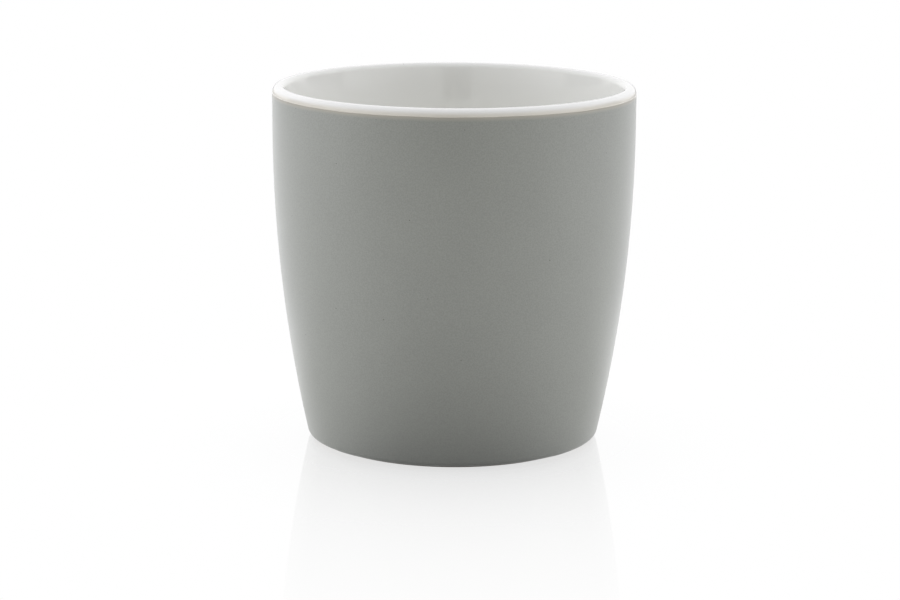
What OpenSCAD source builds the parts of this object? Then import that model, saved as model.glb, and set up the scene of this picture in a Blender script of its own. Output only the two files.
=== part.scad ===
// Handleless cappuccino cup, turned about one axis.
// A fired clay body carries three fused coats: matt grey on the outside of the wall, white gloss in the
// hollow and over the lip, and white gloss under the floor, inside the bare foot ring.
// Lengths are in millimetres. The origin is on the table, at the centre of the foot ring, with +Z up.

/* [Outside] */
// Outer diameter across the upright part of the wall
rim_diameter = 86; // [76:1:100]
// Height from the table to the top of the lip
cup_height = 85; // [70:1:105]
// Height of the upright part of the wall, down from the top of the lip
upright_height = 10; // [5:0.5:25]
// Radius of the long curve that draws the wall in towards the base
wall_curve = 336; // [240:2:600]
// Radius of the edge where the wall turns under
edge_round = 1.6; // [0.8:0.1:4]

/* [Inside] */
// Thickness of the wall at the lip, coats included
lip_thickness = 3.2; // [2.4:0.1:5]
// Thickness of the wall at the level of the inner floor, coats included
wall_thickness = 6; // [4:0.1:9]
// Thickness of the floor, coats included
floor_thickness = 5; // [3:0.1:10]
// Radius of the hollow between the inner wall and the inner floor
inner_corner = 9; // [3:0.5:16]

/* [Foot] */
// Height of the foot ring's outer side, from the table up to the turned-under edge of the wall
foot_height = 0.75; // [0.4:0.05:2]
// Distance of the foot ring in from the place where the edge has turned level
foot_set_in = 1.5; // [0.5:0.1:4]
// Width of the foot ring, the coat on its inner side included
foot_width = 4; // [2.5:0.1:8]
// Bevel on both edges of the foot ring
foot_bevel = 0.3; // [0.1:0.05:0.4]
// Depth of the hollow inside the foot ring, up to its coat
recess_depth = 2.2; // [1.6:0.1:4]
// Radius of the corner in that hollow
recess_corner = 1.2; // [0.6:0.1:1.2]

/* [Coats] */
// Thickness of each fired coat
coat = 0.35; // [0.2:0.05:0.5]
// Upright height of white coat between the rounded lip and the grey coat
white_band = 0.15; // [0.05:0.05:3]

/* [Colours] */
// Bare fired clay
clay_colour = "#ddd6c8"; // color
// Matt grey coat
grey_colour = "#8b8d88"; // color
// White gloss coats
white_colour = "#f2f1ec"; // color

/* [Hidden] */

// Straight steps that each round stretch of the outline is drawn with
wall_steps = 10;
lip_steps = 10;
corner_steps = 7;
edge_steps = 5;
// Facets of a full turn
turn_facets = 180;

// Outside: the wall's curve is centred level with the foot of the upright part
rim_r = rim_diameter / 2;
shoulder_z = cup_height - upright_height;
wall_x = rim_r - wall_curve;
// The edge's round lies inside the wall's curve and touches it and the level underside
edge_z = foot_height + edge_round;
edge_x = wall_x + leg(wall_curve - edge_round, shoulder_z - edge_z);
edge_end = atan2(edge_z - shoulder_z, edge_x - wall_x);

// Lip: one round, as wide as the wall is there
lip_r = lip_thickness / 2;
lip_x = rim_r - lip_r;
lip_z = cup_height - lip_r;
border_z = lip_z - white_band;

// Inside: the inner wall is straight. It touches the lip's round, and leaves the stated wall at the floor
floor_z = recess_depth + floor_thickness;
inner_floor_r = wall_x + leg(wall_curve, shoulder_z - floor_z) - wall_thickness;
lip_run = lip_x - inner_floor_r;
lip_rise = lip_z - floor_z;
inner_lean = atan2(lip_run, lip_rise) - asin(lip_r / norm([lip_run, lip_rise]));
// The corner's round touches the inner wall and the floor
corner_z = floor_z + inner_corner;
corner_x = inner_floor_r + inner_corner * (tan(inner_lean) - 1 / cos(inner_lean));

// Foot ring
foot_r = edge_x - foot_set_in;
foot_inner_r = foot_r - foot_width;
recess_x = foot_inner_r - recess_corner;
recess_z = recess_depth - recess_corner;

// Other leg of a right triangle with this longest side and this leg
function leg(longest, other) = sqrt(longest * longest - other * other);

// Points along an arc, both ends included
function arc(x, z, r, from, to, steps) =
    [for (i = [0 : steps]) let (a = from + (to - from) * i / steps) [x + r * cos(a), z + r * sin(a)]];

function backwards(points) = [for (i = [len(points) - 1 : -1 : 0]) points[i]];

function without_first(points) = [for (i = [1 : len(points) - 1]) points[i]];

// Outside of the cup from the level underside up to the line under the lip, moved into the clay by depth
function outer_line(depth) = concat(
    arc(edge_x, edge_z, edge_round - depth, -90, edge_end, edge_steps),
    without_first(arc(wall_x, shoulder_z, wall_curve - depth, edge_end, 0, wall_steps)),
    [[rim_r - depth, border_z]]
);

// From that line over the lip, down the hollow and in along the floor to the axis, moved in by depth
function lining_line(depth) = concat(
    arc(lip_x, lip_z, lip_r - depth, 0, 180 - inner_lean, lip_steps),
    arc(corner_x, corner_z, inner_corner + depth, -inner_lean, -90, corner_steps),
    [[0, floor_z - depth]]
);

// Underside of the floor from the axis to the foot ring's inner side, moved in by depth
function recess_line(depth) = concat(
    [[0, recess_depth + depth]],
    arc(recess_x, recess_z, recess_corner + depth, 90, 0, edge_steps)
);

// Foot ring from its inner side round to the level underside of the wall
function foot_line() = [
    [foot_inner_r + coat, foot_bevel],
    [foot_inner_r + coat + foot_bevel, 0],
    [foot_r - foot_bevel, 0],
    [foot_r, foot_bevel],
    [foot_r, foot_height + coat]
];

module turned(outline) {
    rotate_extrude($fn = turn_facets) polygon(outline);
}

module clay_body() {
    color(clay_colour)
        turned(concat(outer_line(coat), lining_line(coat), recess_line(coat), foot_line()));
}

module outer_glaze() {
    color(grey_colour)
        turned(concat(outer_line(0), backwards(outer_line(coat))));
}

module lining_glaze() {
    color(white_colour)
        turned(concat(
            [[rim_r, border_z]],
            lining_line(0),
            backwards(lining_line(coat)),
            [[rim_r - coat, border_z]]
        ));
}

module base_glaze() {
    color(white_colour)
        turned(concat(recess_line(0), backwards(recess_line(coat))));
}

clay_body();
outer_glaze();
lining_glaze();
base_glaze();
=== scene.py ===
"""Dresses a turned clay cup with its fired coats and sets a small white studio round it."""

import math

import bmesh
import bpy
from bpy.props import FloatProperty, FloatVectorProperty, IntProperty, PointerProperty
from mathutils import Matrix, Vector


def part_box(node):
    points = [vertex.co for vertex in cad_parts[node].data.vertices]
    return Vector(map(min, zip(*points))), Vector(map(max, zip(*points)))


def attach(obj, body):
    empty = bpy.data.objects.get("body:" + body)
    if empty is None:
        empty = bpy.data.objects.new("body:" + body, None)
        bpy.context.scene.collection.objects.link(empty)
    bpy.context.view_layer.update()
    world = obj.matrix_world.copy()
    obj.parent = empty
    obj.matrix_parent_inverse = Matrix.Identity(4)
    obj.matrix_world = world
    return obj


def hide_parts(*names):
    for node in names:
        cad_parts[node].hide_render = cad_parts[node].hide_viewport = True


bl_info = {
    "name": "Handleless cup",
    "version": (1, 0, 0),
    "blender": (4, 5, 0),
    "location": "3D View > Sidebar > Cup",
    "description": "Builds the glaze coats of a handleless cup on its clay body, and a studio for it",
    "category": "Object",
}

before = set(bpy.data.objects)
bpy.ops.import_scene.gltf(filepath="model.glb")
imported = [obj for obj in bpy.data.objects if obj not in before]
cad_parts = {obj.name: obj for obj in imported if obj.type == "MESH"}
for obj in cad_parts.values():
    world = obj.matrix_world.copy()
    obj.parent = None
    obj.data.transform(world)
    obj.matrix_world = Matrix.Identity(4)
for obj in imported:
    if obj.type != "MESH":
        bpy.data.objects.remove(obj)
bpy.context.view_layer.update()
MM = 0.001


def widest(node):
    """Radius of a turned node, from its box."""
    low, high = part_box(node)
    return max(high.x, high.y, -low.x, -low.y)


CLAY_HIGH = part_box("clay_body")[1]
GREY_LOW, GREY_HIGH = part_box("outer_glaze")
LINING_LOW, LINING_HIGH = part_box("lining_glaze")
BASE_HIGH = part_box("base_glaze")[1]
COAT = LINING_HIGH.z - CLAY_HIGH.z
# How far the border lies below the top of the solid grey coat
BORDER_DROP = 0.06 * MM


def length(name, description, default):
    """A size in metres."""
    return FloatProperty(
        name=name, description=description, default=default, unit="LENGTH", precision=5, min=0.0
    )


def colour(name, description, default):
    """A linear colour."""
    return FloatVectorProperty(
        name=name, description=description, default=default, subtype="COLOR", min=0.0, max=1.0
    )


def power(name, description, default):
    """A lamp's power in watts."""
    return FloatProperty(name=name, description=description, default=default, unit="POWER", min=0.0)


class CupSizes(bpy.types.PropertyGroup):
    """Sizes of the cup: what the frame's boxes show, and the radii and edges between them"""

    rim_radius: length("Rim radius", "Outer radius of the upright wall", widest("outer_glaze"))
    height: length("Height", "Top of the lip above the table", LINING_HIGH.z)
    border: length("Border", "Height of the line where the grey coat begins", GREY_HIGH.z - BORDER_DROP)
    underside: length("Underside", "Height of the edge that turns under the wall", GREY_LOW.z)
    floor: length("Floor", "Height of the floor of the hollow", LINING_LOW.z + COAT)
    recess: length("Recess", "Height of the coat under the floor", BASE_HIGH.z - COAT)
    recess_radius: length("Recess radius", "Radius inside the foot ring", widest("base_glaze") - COAT)
    coat: length("Coat", "Thickness of a fired coat", COAT)
    upright: length("Upright", "Height of the upright wall below the lip's top", 10 * MM)
    wall_curve: length("Wall curve", "Radius of the long curve of the wall", 336 * MM)
    edge_round: length("Edge round", "Radius of the edge under the wall", 1.6 * MM)
    lip: length("Lip", "Thickness of the lip", 3.2 * MM)
    lip_outside: length("Lip outside", "Radius of the lip on its outer side", 1.75 * MM)
    lip_flare: length("Lip flare", "How much thinner the lining is inside the lip", 0.29 * MM)
    flare_depth: length("Flare depth", "How far down from the lip the lining is thinner", 5 * MM)
    wall: length("Wall", "Thickness of the wall level with the floor", 6 * MM)
    inner_corner: length("Inner corner", "Radius between the inner wall and the floor", 9 * MM)
    recess_corner: length("Recess corner", "Radius of the corner inside the foot ring", 1.2 * MM)
    bead: length("Bead", "Roundness of a coat's free edge", 0.1 * MM)
    lap: length("Lap", "Height over which the grey coat laps the white one", 0.4 * MM)
    border_wander: length("Border wander", "How far the grey coat's line strays", 0.06 * MM)
    wiped_wander: length("Wiped wander", "How far the edges wiped by the foot stray", 0.15 * MM)
    hand_wave: length("Hand wave", "How far the coats stray from a true circle", 0.05 * MM)
    turn_steps: IntProperty(name="Turn steps", description="Steps of a full turn", default=256, min=24)


class CupFinish(bpy.types.PropertyGroup):
    """Colours of the coats and the clay"""

    grey_deep: colour("Deep grey", "Darker tone of the matt coat", (0.256, 0.2645, 0.2435))
    grey_pale: colour("Pale grey", "Lighter tone of the matt coat", (0.3135, 0.3235, 0.298))
    grey_edge: colour("Thin edge", "Matt coat where it runs thin at its edges", (0.40, 0.375, 0.325))
    grey_speck: colour("Speck", "Iron specks in the coats", (0.10, 0.098, 0.088))
    white_cool: colour("Cool white", "Gloss coat where it is thick", (0.83, 0.83, 0.823))
    white_warm: colour("Warm white", "Gloss coat where it runs thin", (0.70, 0.667, 0.595))
    # Painted shade: the gloss coat darker from the lip's inner side into the hollow
    white_painted_shade: colour("Shaded white", "Gloss coat below the lip in the hollow", (0.785, 0.785, 0.755))
    # Painted light: the gloss coat paler low in the hollow
    white_painted_light: colour("Deep white", "Gloss coat low in the hollow", (0.90, 0.90, 0.872))
    clay_pale: colour("Pale clay", "Bare clay where it is ground", (0.72, 0.665, 0.575))
    clay_deep: colour("Deep clay", "Bare clay in its pores", (0.56, 0.50, 0.41))
    table: colour("Table", "The table round the cup", (0.86, 0.86, 0.82))
    # Painted shadow: the dark colour the table scatters in front of the cup, which darkens the wall's
    # foot
    painted_shadow: colour("Shadowed table", "What the table scatters close to the cup", (0.24, 0.24, 0.232))


class CupStudio(bpy.types.PropertyGroup):
    """Lamps and camera"""

    left: power("Left lamp", "Soft box on the left", 5.7)
    right: power("Right lamp", "Soft box on the right", 4.9)
    back: power("Back lamp", "Soft box above and behind the cup", 3.6)
    top: power("Top lamp", "Soft box straight above the cup", 3.0)
    daylight: colour("Daylight", "Tint of the two side lamps", (0.935, 0.938, 1.0))
    fill: FloatProperty(name="Fill", description="Even light from all round", default=0.33, min=0.0)
    flag_distance: length("Flag distance", "From the cup's axis to the dark cards", 1.0)
    camera_distance: length("Camera distance", "Along the table from the cup's axis", 650 * MM)
    camera_height: length("Camera height", "Above the table", 171.1 * MM)
    camera_pitch: FloatProperty(
        name="Camera pitch", description="Downward tilt", default=math.radians(12.01), subtype="ANGLE"
    )
    camera_yaw: FloatProperty(
        name="Camera yaw", description="Turn to the right", default=math.radians(-0.067), subtype="ANGLE"
    )
    camera_roll: FloatProperty(
        name="Camera roll", description="Lean of the frame", default=math.radians(0.313), subtype="ANGLE"
    )
    camera_lens: FloatProperty(
        name="Lens", description="Focal length in millimetres on a 36 mm sensor", default=110.75
    )


# Outlines, as points of radius and height

# Steps of each stretch of an outline, to be multiplied by its fineness
EDGE_STEPS = 4
WALL_STEPS = 12
UPRIGHT_STEPS = 4
LIP_OUTSIDE_STEPS = 5
LIP_INSIDE_STEPS = 4
FLARE_STEPS = 4
INNER_WALL_STEPS = 8
CORNER_STEPS = 5
FLOOR_STEPS = 2
RECESS_STEPS = 3


def other_leg(longest, leg):
    """Third side of a right triangle."""
    return math.sqrt(longest * longest - leg * leg)


def arc(x, z, radius, start, end, steps):
    """Points along an arc, both ends included."""
    turns = [start + (end - start) * i / steps for i in range(steps + 1)]
    return [(x + radius * math.cos(a), z + radius * math.sin(a)) for a in turns]


def straight(first, last, steps):
    """Points along a straight stretch, without its first."""
    shares = [i / steps for i in range(1, steps + 1)]
    return [(first[0] + (last[0] - first[0]) * s, first[1] + (last[1] - first[1]) * s) for s in shares]


def outer_line(sizes, depth, fine):
    """Outside of the cup from the level edge under the wall up to the border, moved in by depth."""
    shoulder = sizes.height - sizes.upright
    wall_x = sizes.rim_radius - sizes.wall_curve
    edge_z = sizes.underside + sizes.edge_round
    edge_x = wall_x + other_leg(sizes.wall_curve - sizes.edge_round, shoulder - edge_z)
    turn = math.atan2(edge_z - shoulder, edge_x - wall_x)
    points = arc(edge_x, edge_z, sizes.edge_round - depth, -math.pi / 2, turn, EDGE_STEPS * fine)
    points += arc(wall_x, shoulder, sizes.wall_curve - depth, turn, 0, WALL_STEPS * fine)[1:]
    border = (sizes.rim_radius - depth, sizes.border)
    return points + straight(points[-1], border, UPRIGHT_STEPS * fine)


def lining_line(sizes, depth, outside, fine):
    """Over the lip, down the hollow and along its floor, moved in by depth.

    The lip has the radius outside on its outer side, and the rest of its thickness is its inner radius.
    """
    inside = sizes.lip - outside
    crest = sizes.rim_radius - outside
    lip_z = sizes.height - inside
    shoulder = sizes.height - sizes.upright
    wall_x = sizes.rim_radius - sizes.wall_curve
    floor_radius = wall_x + other_leg(sizes.wall_curve, shoulder - sizes.floor) - sizes.wall
    run = crest - floor_radius
    rise = lip_z - sizes.floor
    lean = math.atan2(run, rise) - math.asin(inside / math.hypot(run, rise))
    corner_z = sizes.floor + sizes.inner_corner
    corner_x = floor_radius + sizes.inner_corner * (math.tan(lean) - 1 / math.cos(lean))
    corner = arc(corner_x, corner_z, sizes.inner_corner + depth, -lean, -math.pi / 2, CORNER_STEPS * fine)
    low = math.asin((sizes.border + outside - sizes.height) / outside)
    outer_z = sizes.height - outside
    points = arc(crest, outer_z, outside - depth, low, math.pi / 2, LIP_OUTSIDE_STEPS * fine)
    points += arc(crest, lip_z, inside - depth, math.pi / 2, math.pi - lean, LIP_INSIDE_STEPS * fine)[1:]
    top = points[-1]
    share = (top[1] - sizes.height + sizes.flare_depth) / (top[1] - corner[0][1])
    below_flare = (top[0] + (corner[0][0] - top[0]) * share, sizes.height - sizes.flare_depth)
    points += straight(top, below_flare, FLARE_STEPS * fine)
    points += straight(below_flare, corner[0], INNER_WALL_STEPS * fine) + corner[1:]
    return points + straight(points[-1], (0.0, sizes.floor - depth), FLOOR_STEPS * fine)


def lip_flare(sizes, radius, height):
    """How far the lining lies further out by the lip, where it is thinner."""
    inner = smooth_step(radius, sizes.rim_radius - sizes.lip_outside, sizes.rim_radius - sizes.lip)
    share = max(0.0, 1 - (sizes.height - height) / sizes.flare_depth)
    return sizes.lip_flare * share * share * inner


def recess_line(sizes, depth, fine):
    """Under the floor from the axis to the inner side of the foot ring, moved in by depth."""
    corner_x = sizes.recess_radius - sizes.recess_corner
    corner_z = sizes.recess - sizes.recess_corner
    corner = arc(corner_x, corner_z, sizes.recess_corner + depth, math.pi / 2, 0, RECESS_STEPS * fine)
    start = (0.0, sizes.recess + depth)
    return [start] + straight(start, corner[0], FLOOR_STEPS * fine) + corner[1:]


def run_lengths(points):
    """Distance of each point from the first, along the outline."""
    total = [0.0]
    for (r, z), (r2, z2) in zip(points, points[1:]):
        total.append(total[-1] + math.hypot(r2 - r, z2 - z))
    return total


# Meshes

# Fineness of a coat's visible side and of the side that lies on the clay
VISIBLE_STEPS = 4
HIDDEN_STEPS = 1
BEAD_STEPS = 4
# A length too small to see, which keeps faces apart
HAIR = 0.01 * MM
# How far below the border the grey coat follows its wavering line
BORDER_REACH = 3 * MM
# How many coats in from the outside the lining follows that line
BORDER_COATS = 1.5
GAP_LAYER = "edge_gap"
# Waves of a hand-drawn line: how many in a turn, and their share of its reach
LINE_WAVES = ((2, 0.30), (5, 0.34), (11, 0.36), (23, 0.30), (41, 0.18))
# Offsets that make one hand-drawn line differ from the next
BORDER_OFFSET, FOOT_OFFSET, RECESS_OFFSET = 2.1, 0.7, 1.4
# Waves of a hand-finished wall: share, how many in a turn, twist for each metre of height, and offset
ROUND_WAVES = ((1.0, 2, 40, 0.0), (0.6, 3, -65, 1.3), (0.35, 7, 150, 0.4))
# The shares come to nearly 2, so these keep the wall between the true circle and one wave inside it
ROUND_MIDDLE, ROUND_SCALE = 0.5, 0.25


def wander(angle, reach, offset):
    """A line drawn by hand round the cup: slow and quick waves that close up after a turn."""
    waves = (share * math.sin(count * angle + offset * count * count) for count, share in LINE_WAVES)
    return reach * sum(waves)


def smooth_step(value, low, high):
    """0 at low, 1 at high, easing in and out."""
    share = min(1.0, max(0.0, (value - low) / (high - low)))
    return share * share * (3 - 2 * share)


def turned_piece(name, outline, steps, place):
    """A closed mesh turned about the axis. Each point of the outline is radius, height and edge gap."""
    made = bmesh.new()
    gap_layer = made.verts.layers.float.new(GAP_LAYER)
    rings = []
    for radius, height, gap in outline:
        turns = [2 * math.pi * i / steps for i in range(steps)] if radius > HAIR else [0.0]
        ring = []
        for angle in turns:
            r, z = place(angle, radius, height)
            ring.append(made.verts.new((r * math.cos(angle), r * math.sin(angle), z)))
            ring[-1][gap_layer] = gap
        rings.append(ring)
    after = rings[1:] + rings[:1] if len(rings[0]) > 1 else rings[1:]
    for low, high in zip(rings, after):
        for i in range(steps):
            j = (i + 1) % steps
            corners = [low[i % len(low)], low[j % len(low)], high[j % len(high)], high[i % len(high)]]
            made.faces.new(list(dict.fromkeys(corners)))
    bmesh.ops.recalc_face_normals(made, faces=made.faces)
    for face in made.faces:
        face.smooth = True
    mesh = bpy.data.meshes.new(name)
    made.to_mesh(mesh)
    made.free()
    piece = bpy.data.objects.new(name, mesh)
    bpy.context.scene.collection.objects.link(piece)
    return piece


def out_of_round(sizes, angle, height):
    """How far a hand-finished wall lies inside the true circle."""
    waves = 0.0
    for share, count, twist, offset in ROUND_WAVES:
        waves += share * math.sin(count * angle + twist * height + offset)
    return sizes.hand_wave * (ROUND_MIDDLE + ROUND_SCALE * waves)


def fit_on_body(piece, node, material):
    """Puts a finished piece in the place of its CAD node."""
    piece.data.materials.append(material)
    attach(piece, "root")
    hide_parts(node)


# Materials

# Colour sockets of a Mix node
MIX_FIRST, MIX_SECOND, MIX_RESULT = 6, 7, 2
WHITE = (1.0, 1.0, 1.0)
DARK = (0.08, 0.08, 0.08)
# Where most of a noise's values lie
NOISE_LOW, NOISE_HIGH = 0.3, 0.7
# Share of a speck's radius within which it has its full colour
SPECK_CORE = 0.5
# Grey coat: patches and grain with their shares of the tone, thin edge, specks, gloss and relief
GREY_CLOUD, GREY_CLOUD_SHARE = 14 * MM, 0.4
GREY_GRAIN, GREY_GRAIN_SHARE = 0.3 * MM, 0.6
GREY_THIN = 1.2 * MM
GREY_SPECKS_APART, GREY_SPECK_RADIUS = 5 * MM, 0.16 * MM
GREY_ROUGHNESS = (0.28, 0.305)
GREY_REFRACTION = 1.58
GREY_RELIEF = 0.004 * MM
# White coats: patches, orange peel, thin edge, reach of the painted shade inside the lip and of the
# painted light low in the hollow, pinholes and gloss
WHITE_CLOUD, WHITE_CLOUD_SHARE = 18 * MM, 0.15
WHITE_PEEL, WHITE_RELIEF = 5 * MM, 0.003 * MM
WHITE_THIN, WHITE_THINNEST, WHITE_THIN_SHARE = 1.5 * MM, 0.3 * MM, 0.85
WHITE_SHADE_FROM, WHITE_SHADE_TO = 3 * MM, 4.6 * MM
WHITE_DEEP_FROM, WHITE_DEEP_TO = 8 * MM, 28 * MM
WHITE_SPECKS_APART, WHITE_SPECK_RADIUS = 7 * MM, 0.12 * MM
WHITE_ROUGHNESS = (0.025, 0.045)
# Bare clay: sand and patches with their shares of the tone, pores, roughness and relief
CLAY_SAND, CLAY_SAND_SHARE = 0.5 * MM, 0.6
CLAY_CLOUD, CLAY_CLOUD_SHARE = 6 * MM, 0.4
CLAY_PORES_APART, CLAY_PORE_RADIUS = 1.4 * MM, 0.22 * MM
CLAY_SAND_LOW, CLAY_SAND_HIGH = 0.2, 0.8
CLAY_ROUGHNESS = (0.78, 0.92)
CLAY_RELIEF = 0.02 * MM
# Table: its polish fades away from the cup, and so do its shade and its plain white in the gloss
POLISH_FADE, POLISH_SHARE, POLISH_ROUGHNESS = 47 * MM, 0.46, 0.03
SHADE_NEAR, SHADE_FAR, SHADE_SHARE = 40 * MM, 110 * MM, 0.075
PLAIN_NEAR, PLAIN_FAR, PLAIN_SHARE = 50 * MM, 110 * MM, 0.7
# Patch in front of the cup where the table scatters little light: a painted shadow, which darkens the
# wall's foot
PATCH_MIDDLE = (0.0, -38 * MM, 0.0)
PATCH_CORE, PATCH_REACH = 14 * MM, 44 * MM
# Half ring of the table behind the cup that the gloss sees a little brighter: a painted glow, which
# lights up the reflections in the cup's lower sides. It begins behind the axis, fading in over LIFT_REAR,
# and lies between
# LIFT_START and LIFT_END from it
LIFT_STRENGTH, LIFT_SHARE = 1.9, 0.22
LIFT_REAR = 40 * MM
LIFT_START, LIFT_FULL, LIFT_FADE, LIFT_END = 43 * MM, 60 * MM, 100 * MM, 170 * MM


def new_material(name):
    """A material with a Principled shader, and that shader."""
    material = bpy.data.materials.new(name)
    material.use_nodes = True
    tree = material.node_tree
    return material, tree, tree.nodes["Principled BSDF"]


def feed(tree, socket, value):
    """Links a socket, or sets a number or a colour."""
    if isinstance(value, bpy.types.NodeSocket):
        tree.links.new(value, socket)
    elif isinstance(value, (int, float)):
        socket.default_value = value
    else:
        socket.default_value = (*value[:3], 1.0)


def object_place(tree):
    """Where a point lies on the piece, in metres."""
    return tree.nodes.new("ShaderNodeTexCoord").outputs["Object"]


def soft_noise(tree, place, size, detail):
    """Noise from 0 to 1 with patches of about this size."""
    made = tree.nodes.new("ShaderNodeTexNoise")
    made.inputs["Scale"].default_value = 1 / size
    made.inputs["Detail"].default_value = detail
    tree.links.new(place, made.inputs["Vector"])
    return made.outputs["Fac"]


def graded(tree, value, low, high, first=0.0, last=1.0):
    """Eases from first to last while value goes from low to high."""
    made = tree.nodes.new("ShaderNodeMapRange")
    made.interpolation_type = "SMOOTHSTEP"
    numbers = {"From Min": low, "From Max": high, "To Min": first, "To Max": last}
    for name, number in numbers.items():
        made.inputs[name].default_value = number
    tree.links.new(value, made.inputs["Value"])
    return made.outputs["Result"]


def maths(tree, operation, first, second):
    """One sum on two values."""
    made = tree.nodes.new("ShaderNodeMath")
    made.operation = operation
    feed(tree, made.inputs[0], first)
    feed(tree, made.inputs[1], second)
    return made.outputs[0]


def weighted(tree, parts):
    """Sum of values times their shares."""
    total = None
    for value, share in parts:
        part = maths(tree, "MULTIPLY", value, share)
        total = part if total is None else maths(tree, "ADD", total, part)
    return total


def blended(tree, share, first, second):
    """Colour between first and second."""
    made = tree.nodes.new("ShaderNodeMix")
    made.data_type = "RGBA"
    feed(tree, made.inputs[0], share)
    feed(tree, made.inputs[MIX_FIRST], first)
    feed(tree, made.inputs[MIX_SECOND], second)
    return made.outputs[MIX_RESULT]


def specks(tree, place, apart, radius):
    """1 in small round spots that lie about this far apart."""
    made = tree.nodes.new("ShaderNodeTexVoronoi")
    made.inputs["Scale"].default_value = 1 / apart
    tree.links.new(place, made.inputs["Vector"])
    return graded(tree, made.outputs["Distance"], radius / apart, SPECK_CORE * radius / apart)


def bumped(tree, height, depth):
    """Surface normal of a relief of this depth."""
    made = tree.nodes.new("ShaderNodeBump")
    made.inputs["Distance"].default_value = depth
    tree.links.new(height, made.inputs["Height"])
    return made.outputs["Normal"]


def edge_gap(tree):
    """Distance from a coat's free edge, stored in its mesh."""
    made = tree.nodes.new("ShaderNodeAttribute")
    made.attribute_name = GAP_LAYER
    return made.outputs["Fac"]


def matt_grey(finish):
    """Satin-matt grey glaze: clouded, finely grained, warm where it runs thin, with a few iron specks."""
    material, tree, shader = new_material("matt_grey_glaze")
    place = object_place(tree)
    cloud = soft_noise(tree, place, GREY_CLOUD, detail=3)
    grain = graded(tree, soft_noise(tree, place, GREY_GRAIN, detail=1), NOISE_LOW, NOISE_HIGH)
    tone = weighted(tree, ((cloud, GREY_CLOUD_SHARE), (grain, GREY_GRAIN_SHARE)))
    body = blended(tree, tone, finish.grey_deep, finish.grey_pale)
    thin = graded(tree, edge_gap(tree), GREY_THIN, 0.0)
    edged = blended(tree, thin, body, finish.grey_edge)
    spots = specks(tree, place, GREY_SPECKS_APART, GREY_SPECK_RADIUS)
    speckled = blended(tree, spots, edged, finish.grey_speck)
    feed(tree, shader.inputs["Base Color"], speckled)
    feed(tree, shader.inputs["Roughness"], graded(tree, cloud, NOISE_LOW, NOISE_HIGH, *GREY_ROUGHNESS))
    shader.inputs["IOR"].default_value = GREY_REFRACTION
    feed(tree, shader.inputs["Normal"], bumped(tree, cloud, GREY_RELIEF))
    return material


def gloss_white(finish):
    """White gloss glaze: warm where it runs thin, with painted shade inside the lip and painted light low
    in the hollow, and a few pinholes.
    """
    material, tree, shader = new_material("gloss_white_glaze")
    place = object_place(tree)
    cloud = soft_noise(tree, place, WHITE_CLOUD, detail=2)
    peel = soft_noise(tree, place, WHITE_PEEL, detail=1)
    gap = edge_gap(tree)
    thin = graded(tree, gap, WHITE_THIN, WHITE_THINNEST)
    share = weighted(tree, ((thin, WHITE_THIN_SHARE), (cloud, WHITE_CLOUD_SHARE)))
    body = blended(tree, share, finish.white_cool, finish.white_warm)
    # Painted shade: the coat turns darker from the lip's inner side down into the hollow
    shaded_white = blended(tree, graded(tree, gap, WHITE_SHADE_FROM, WHITE_SHADE_TO), body, finish.white_painted_shade)
    # Painted light: the coat turns paler again low in the hollow
    deep = blended(tree, graded(tree, gap, WHITE_DEEP_FROM, WHITE_DEEP_TO), shaded_white, finish.white_painted_light)
    spots = specks(tree, place, WHITE_SPECKS_APART, WHITE_SPECK_RADIUS)
    speckled = blended(tree, spots, deep, finish.grey_speck)
    feed(tree, shader.inputs["Base Color"], speckled)
    feed(tree, shader.inputs["Roughness"], graded(tree, cloud, NOISE_LOW, NOISE_HIGH, *WHITE_ROUGHNESS))
    feed(tree, shader.inputs["Normal"], bumped(tree, peel, WHITE_RELIEF))
    return material


def bare_clay(finish):
    """Bare fired clay: sandy, porous and dull."""
    material, tree, shader = new_material("bare_clay")
    place = object_place(tree)
    sand = soft_noise(tree, place, CLAY_SAND, detail=3)
    cloud = soft_noise(tree, place, CLAY_CLOUD, detail=2)
    pores = specks(tree, place, CLAY_PORES_APART, CLAY_PORE_RADIUS)
    tone = weighted(tree, ((sand, CLAY_SAND_SHARE), (cloud, CLAY_CLOUD_SHARE)))
    body = blended(tree, tone, finish.clay_pale, finish.clay_deep)
    feed(tree, shader.inputs["Base Color"], blended(tree, pores, body, finish.clay_deep))
    rough = graded(tree, sand, CLAY_SAND_LOW, CLAY_SAND_HIGH, *CLAY_ROUGHNESS)
    feed(tree, shader.inputs["Roughness"], rough)
    feed(tree, shader.inputs["Normal"], bumped(tree, sand, CLAY_RELIEF))
    return material


def seen_straight(tree):
    """1 for what the camera sees, also in a mirror or through glass, and 0 for light that scatters."""
    path = tree.nodes.new("ShaderNodeLightPath")
    mirrored = maths(tree, "MAXIMUM", path.outputs["Is Glossy Ray"], path.outputs["Is Transmission Ray"])
    return maths(tree, "MAXIMUM", path.outputs["Is Camera Ray"], mirrored)


def mixed_shader(tree, share, first, second):
    """Shader between first and second."""
    made = tree.nodes.new("ShaderNodeMixShader")
    feed(tree, made.inputs[0], share)
    tree.links.new(first, made.inputs[1])
    tree.links.new(second, made.inputs[2])
    return made.outputs[0]


def plain_shader(tree, kind, tint, **numbers):
    """A shader node of one kind and colour."""
    made = tree.nodes.new(kind)
    made.inputs["Color"].default_value = (*tint, 1.0)
    for name, number in numbers.items():
        made.inputs[name].default_value = number
    return made.outputs[0]


def distance_from(tree, middle):
    """How far a point of the piece lies from this place."""
    made = tree.nodes.new("ShaderNodeVectorMath")
    made.operation = "DISTANCE"
    tree.links.new(object_place(tree), made.inputs[0])
    made.inputs[1].default_value = middle
    return made.outputs["Value"]


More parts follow.
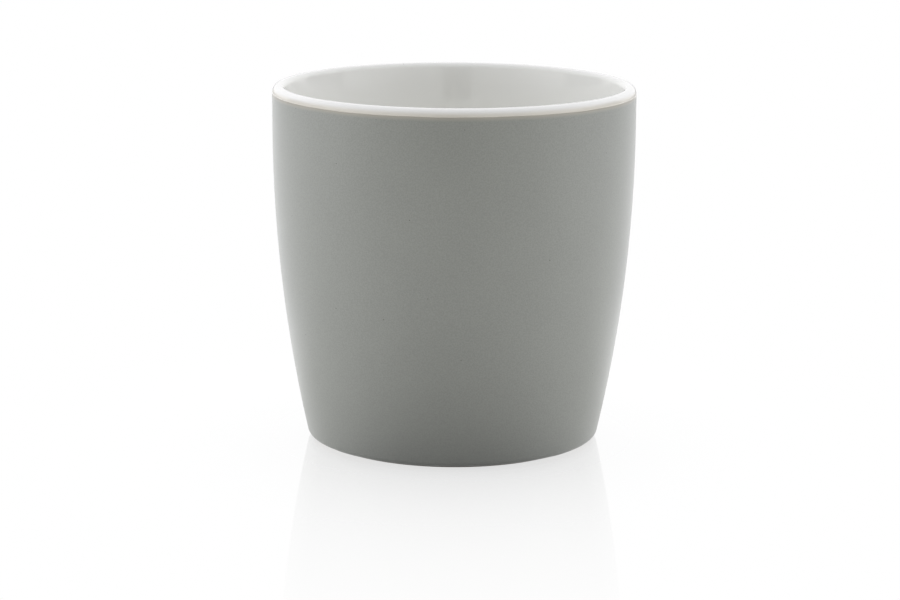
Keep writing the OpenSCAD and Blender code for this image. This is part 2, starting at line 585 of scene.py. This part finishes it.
def white_table(finish):
    """White table: plain white to the eye, glossy round the cup, with its shadow and reflection, a
    painted shadow and a painted glow.
    """
    material = bpy.data.materials.new("white_table")
    material.use_nodes = True
    material.cycles.emission_sampling = "NONE"
    tree = material.node_tree
    tree.nodes.clear()
    lit = tree.nodes.new("ShaderNodeBsdfDiffuse")
    bright = plain_shader(tree, "ShaderNodeBsdfDiffuse", WHITE)
    glow = plain_shader(tree, "ShaderNodeEmission", WHITE, Strength=1.0)
    # Painted light: a glow brighter than white that only the gloss sees, on a half ring behind the cup
    lift = plain_shader(tree, "ShaderNodeEmission", WHITE, Strength=LIFT_STRENGTH)
    mirror = plain_shader(tree, "ShaderNodeBsdfGlossy", WHITE, Roughness=POLISH_ROUGHNESS)
    away = distance_from(tree, (0.0, 0.0, 0.0))
    polish = maths(tree, "EXPONENT", maths(tree, "DIVIDE", away, -POLISH_FADE), 0.0)
    gloss = maths(tree, "MULTIPLY", polish, POLISH_SHARE)
    shade = graded(tree, away, SHADE_NEAR, SHADE_FAR, SHADE_SHARE, 0.0)
    path = tree.nodes.new("ShaderNodeLightPath")
    close = graded(tree, away, PLAIN_FAR, PLAIN_NEAR, 0.0, PLAIN_SHARE)
    in_gloss = maths(tree, "MULTIPLY", path.outputs["Is Glossy Ray"], close)
    to_eye = maths(tree, "MAXIMUM", path.outputs["Is Camera Ray"], in_gloss)
    plain = maths(tree, "MULTIPLY", to_eye, maths(tree, "SUBTRACT", 1.0, shade))
    # Painted shadow: in front of the cup the table scatters a dark colour, which darkens the foot of the
    # wall
    near = graded(tree, distance_from(tree, PATCH_MIDDLE), PATCH_REACH, PATCH_CORE)
    feed(tree, lit.inputs["Color"], blended(tree, near, finish.table, finish.painted_shadow))
    parts = tree.nodes.new("ShaderNodeSeparateXYZ")
    tree.links.new(object_place(tree), parts.inputs[0])
    rear = graded(tree, parts.outputs["Y"], 0.0, LIFT_REAR)
    inner = graded(tree, away, LIFT_START, LIFT_FULL)
    outer = graded(tree, away, LIFT_END, LIFT_FADE, 0.0, LIFT_SHARE)
    ring = maths(tree, "MULTIPLY", rear, maths(tree, "MULTIPLY", inner, outer))
    lifted = maths(tree, "MULTIPLY", path.outputs["Is Glossy Ray"], ring)
    flat = mixed_shader(tree, lifted, mixed_shader(tree, plain, bright, glow), lift)
    seen = mixed_shader(tree, gloss, flat, mirror)
    output = tree.nodes.new("ShaderNodeOutputMaterial")
    either = mixed_shader(tree, seen_straight(tree), lit.outputs[0], seen)
    tree.links.new(either, output.inputs["Surface"])
    return material


# Stage

# Radius of the table, and sides of its edge
TABLE_REACH = 6.0
TABLE_SIDES = 96
# Places and sizes of the soft boxes, in metres
LEFT_PLACE, RIGHT_PLACE, SIDE_BOX = (-0.89, 0.0, 0.325), (0.89, 0.0, 0.325), (0.9, 0.75)
BACK_PLACE, BACK_BOX = (0.0, 0.66, 0.66), (0.8, 0.6)
TOP_PLACE, TOP_BOX = (0.0, 0.0, 0.95), (0.8, 0.8)
# Dark cards: name, turn from +X in degrees, and width in metres
FLAGS = (("right_flag", 16, 0.74), ("left_flag", 164, 0.74), ("front_flag", -92, 0.37))
FLAG_HEIGHT = 0.5
# Camera: width of its sensor in millimetres, and how close it sees in metres
SENSOR_WIDTH = 36.0
NEAREST_SEEN = 0.01


def soft_box(name, place, size, watts, tint=WHITE):
    """A soft box that faces the middle of the cup and shows neither in the picture nor in the gloss."""
    data = bpy.data.lights.new(name, "AREA")
    data.shape = "RECTANGLE"
    data.size, data.size_y = size
    data.energy = watts
    data.color = tint
    lamp = bpy.data.objects.new(name, data)
    lamp.location = place
    middle = Vector((0, 0, LINING_HIGH.z / 2))
    lamp.rotation_euler = (middle - lamp.location).to_track_quat("-Z", "Y").to_euler()
    lamp.visible_camera = False
    lamp.visible_glossy = False
    bpy.context.scene.collection.objects.link(lamp)


def studio_world(fill):
    """White to the eye, and an even fill for light that scatters."""
    world = bpy.data.worlds.new("studio")
    bpy.context.scene.world = world
    world.use_nodes = True
    world.cycles.sampling_method = "NONE"
    tree = world.node_tree
    tree.nodes.clear()
    even = plain_shader(tree, "ShaderNodeBackground", WHITE, Strength=fill)
    shown = plain_shader(tree, "ShaderNodeBackground", WHITE, Strength=1.0)
    output = tree.nodes.new("ShaderNodeOutputWorld")
    tree.links.new(mixed_shader(tree, seen_straight(tree), even, shown), output.inputs["Surface"])


def table_top(material):
    """A round table whose edge lies far outside the picture."""
    made = bmesh.new()
    bmesh.ops.create_circle(made, cap_ends=True, segments=TABLE_SIDES, radius=TABLE_REACH)
    mesh = bpy.data.meshes.new("table_top")
    made.to_mesh(mesh)
    made.free()
    mesh.materials.append(material)
    table = bpy.data.objects.new("table_top", mesh)
    table.location.z = -HAIR
    bpy.context.scene.collection.objects.link(table)


def dark_flag(name, distance, turn, width):
    """A dark card that faces the cup at this turn from +X. It shows only in the gloss."""
    material = bpy.data.materials.new(name)
    material.use_nodes = True
    material.cycles.emission_sampling = "NONE"
    tree = material.node_tree
    tree.nodes.clear()
    output = tree.nodes.new("ShaderNodeOutputMaterial")
    tree.links.new(plain_shader(tree, "ShaderNodeEmission", DARK), output.inputs["Surface"])
    corners = [(distance, y, z) for y, z in ((-1, 0), (1, 0), (1, 1), (-1, 1))]
    corners = [(x, y * width / 2, z * FLAG_HEIGHT) for x, y, z in corners]
    mesh = bpy.data.meshes.new(name)
    mesh.from_pydata(corners, [], [(0, 1, 2, 3)])
    mesh.materials.append(material)
    card = bpy.data.objects.new(name, mesh)
    card.rotation_euler.z = turn
    card.visible_camera = False
    card.visible_diffuse = False
    card.visible_transmission = False
    card.visible_shadow = False
    bpy.context.scene.collection.objects.link(card)


def studio_camera(studio):
    """Camera in front of the cup, at the height and tilt of the picture."""
    data = bpy.data.cameras.new("studio_camera")
    data.sensor_width = SENSOR_WIDTH
    data.lens = studio.camera_lens
    data.clip_start = NEAREST_SEEN
    camera = bpy.data.objects.new("studio_camera", data)
    pitch, yaw, roll = studio.camera_pitch, studio.camera_yaw, studio.camera_roll
    ahead = Vector((math.sin(yaw) * math.cos(pitch), math.cos(yaw) * math.cos(pitch), -math.sin(pitch)))
    level = Vector((math.cos(yaw), -math.sin(yaw), 0))
    upright = level.cross(ahead)
    right = level * math.cos(roll) + upright * math.sin(roll)
    up = upright * math.cos(roll) - level * math.sin(roll)
    turn = Matrix((right, up, -ahead)).transposed().to_4x4()
    camera.matrix_world = Matrix.Translation((0, -studio.camera_distance, studio.camera_height)) @ turn
    bpy.context.scene.collection.objects.link(camera)
    bpy.context.scene.camera = camera


# Operators


class CUP_OT_set_stage(bpy.types.Operator):
    """Place the camera, lay the white table, and hang the soft boxes and the dark cards"""

    bl_idname = "cup.set_stage"
    bl_label = "Set the stage"

    def execute(self, context):
        studio = context.scene.cup_studio
        context.scene.view_settings.view_transform = "Standard"
        studio_camera(studio)
        studio_world(studio.fill)
        table_top(white_table(context.scene.cup_finish))
        soft_box("left_lamp", LEFT_PLACE, SIDE_BOX, studio.left, studio.daylight)
        soft_box("right_lamp", RIGHT_PLACE, SIDE_BOX, studio.right, studio.daylight)
        soft_box("back_lamp", BACK_PLACE, BACK_BOX, studio.back)
        soft_box("top_lamp", TOP_PLACE, TOP_BOX, studio.top)
        for name, turn, width in FLAGS:
            dark_flag(name, studio.flag_distance, math.radians(turn), width)
        return {"FINISHED"}


class CUP_OT_bare_body(bpy.types.Operator):
    """Give the clay body its bare, ground finish, which shows at the foot ring"""

    bl_idname = "cup.bare_body"
    bl_label = "Bare clay body"

    def execute(self, context):
        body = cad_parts["clay_body"]
        body.data.materials.clear()
        body.data.materials.append(bare_clay(context.scene.cup_finish))
        return {"FINISHED"}


class CUP_OT_coat_outside(bpy.types.Operator):
    """Coat the outside of the wall in matt grey, from the wiped edge by the foot up to the white lip"""

    bl_idname = "cup.coat_outside"
    bl_label = "Grey coat"

    def execute(self, context):
        sizes = context.scene.cup_sizes
        shown = outer_line(sizes, 0.0, VISIBLE_STEPS)
        edge_x, low_z = shown[0]
        shown = [p for p in shown if p[0] > edge_x + sizes.bead and p[1] < sizes.border - sizes.bead]
        low_x, low_z = edge_x + sizes.bead, low_z + sizes.bead
        shown = arc(low_x, low_z, sizes.bead, -math.pi, -math.pi / 2, BEAD_STEPS) + shown
        top_x, top_z = sizes.rim_radius - sizes.bead, sizes.border - sizes.bead
        shown += arc(top_x, top_z, sizes.bead, 0, math.pi / 2, BEAD_STEPS)
        run = run_lengths(shown)
        gaps = [min(here, run[-1] - here) for here in run]
        hidden = outer_line(sizes, sizes.coat, HIDDEN_STEPS)
        hidden = [p for p in hidden if p[1] < sizes.border - sizes.lap]
        hidden.append((sizes.rim_radius - sizes.coat, sizes.border - sizes.lap))
        outline = [(r, z, gap) for (r, z), gap in zip(shown, gaps)]
        outline += [(r, z, 0.0) for r, z in reversed(hidden)]
        wiped_reach = edge_x + sizes.edge_round

        def place(angle, radius, height):
            by_border = smooth_step(height, sizes.border - BORDER_REACH, sizes.border - sizes.lap)
            at_foot = height < sizes.underside + sizes.coat
            by_foot = smooth_step(radius, wiped_reach, edge_x) if at_foot else 0.0
            outside = smooth_step(height, sizes.underside, sizes.underside + sizes.edge_round)
            radius += wander(angle, sizes.wiped_wander, FOOT_OFFSET) * by_foot
            radius -= out_of_round(sizes, angle, height) * outside
            return radius, height + wander(angle, sizes.border_wander, BORDER_OFFSET) * by_border

        piece = turned_piece("grey_coat", outline, sizes.turn_steps, place)
        fit_on_body(piece, "outer_glaze", matt_grey(context.scene.cup_finish))
        return {"FINISHED"}


class CUP_OT_line_hollow(bpy.types.Operator):
    """Line the hollow in white gloss, over the lip and down to the line where the grey coat begins"""

    bl_idname = "cup.line_hollow"
    bl_label = "White lining"

    def execute(self, context):
        sizes = context.scene.cup_sizes
        shown = lining_line(sizes, 0.0, sizes.lip_outside, VISIBLE_STEPS)
        shown = [(r + lip_flare(sizes, r, z), z) for r, z in shown]
        border = (sizes.rim_radius - HAIR, sizes.border + HAIR)
        shown = [border] + shown
        hidden = lining_line(sizes, sizes.coat, sizes.lip / 2, HIDDEN_STEPS)
        hidden.insert(0, (sizes.rim_radius - sizes.coat, sizes.border - sizes.lap + HAIR))
        outline = [(r, z, 0.0) for r, z in reversed(hidden)]
        outline += [(r, z, gap) for (r, z), gap in zip(shown, run_lengths(shown))]
        lip_z = sizes.height - sizes.lip / 2

        def place(angle, radius, height):
            at_border = height < lip_z and radius > sizes.rim_radius - BORDER_COATS * sizes.coat
            by_border = smooth_step(height, lip_z, sizes.border) if at_border else 0.0
            by_lip = smooth_step(height, sizes.floor + sizes.inner_corner, lip_z)
            radius -= out_of_round(sizes, angle, height) * by_lip
            return radius, height + wander(angle, sizes.border_wander, BORDER_OFFSET) * by_border

        piece = turned_piece("white_lining", outline, sizes.turn_steps, place)
        fit_on_body(piece, "lining_glaze", gloss_white(context.scene.cup_finish))
        return {"FINISHED"}


class CUP_OT_coat_base(bpy.types.Operator):
    """Coat the underside of the floor in white gloss, as far as the wiped inner side of the foot ring"""

    bl_idname = "cup.coat_base"
    bl_label = "White base coat"

    def execute(self, context):
        sizes = context.scene.cup_sizes
        shown = recess_line(sizes, 0.0, VISIBLE_STEPS)
        hidden = recess_line(sizes, sizes.coat, HIDDEN_STEPS)
        end_x, end_z = shown[-1]
        lip = arc(end_x + sizes.bead, end_z + sizes.bead, sizes.bead, -math.pi / 2, -math.pi, BEAD_STEPS)
        shown = lip + list(reversed(shown[:-1]))
        outline = [(r, z, 0.0) for r, z in hidden]
        outline += [(r, z, gap) for (r, z), gap in zip(shown, run_lengths(shown))]

        def place(angle, radius, height):
            by_foot = smooth_step(height, sizes.recess, end_z)
            return radius, height + wander(angle, sizes.wiped_wander, RECESS_OFFSET) * by_foot

        piece = turned_piece("white_base", outline, sizes.turn_steps, place)
        fit_on_body(piece, "base_glaze", bpy.data.materials["gloss_white_glaze"])
        return {"FINISHED"}


class CUP_PT_parts(bpy.types.Panel):
    """The cup's pieces, sizes and colours"""

    bl_idname = "CUP_PT_parts"
    bl_label = "Handleless cup"
    bl_space_type = "VIEW_3D"
    bl_region_type = "UI"
    bl_category = "Cup"

    def draw(self, context):
        for operator in OPERATORS:
            self.layout.operator(operator.bl_idname)
        for group in GROUPS:
            values = getattr(context.scene, group)
            for name in values.bl_rna.properties.keys():
                if name not in ("rna_type", "name"):
                    self.layout.prop(values, name)


GROUPS = {"cup_sizes": CupSizes, "cup_finish": CupFinish, "cup_studio": CupStudio}
OPERATORS = (
    CUP_OT_set_stage,
    CUP_OT_bare_body,
    CUP_OT_coat_outside,
    CUP_OT_line_hollow,
    CUP_OT_coat_base,
)


def register():
    for kind in (*GROUPS.values(), *OPERATORS, CUP_PT_parts):
        bpy.utils.register_class(kind)
    for name, group in GROUPS.items():
        setattr(bpy.types.Scene, name, PointerProperty(type=group))


def unregister():
    for name in GROUPS:
        delattr(bpy.types.Scene, name)
    for kind in (CUP_PT_parts, *reversed(OPERATORS), *reversed(GROUPS.values())):
        bpy.utils.unregister_class(kind)


def main():
    register()
    bpy.ops.cup.set_stage()
    bpy.ops.cup.bare_body()
    bpy.ops.cup.coat_outside()
    bpy.ops.cup.line_hollow()
    bpy.ops.cup.coat_base()


if __name__ == "__main__":
    main()
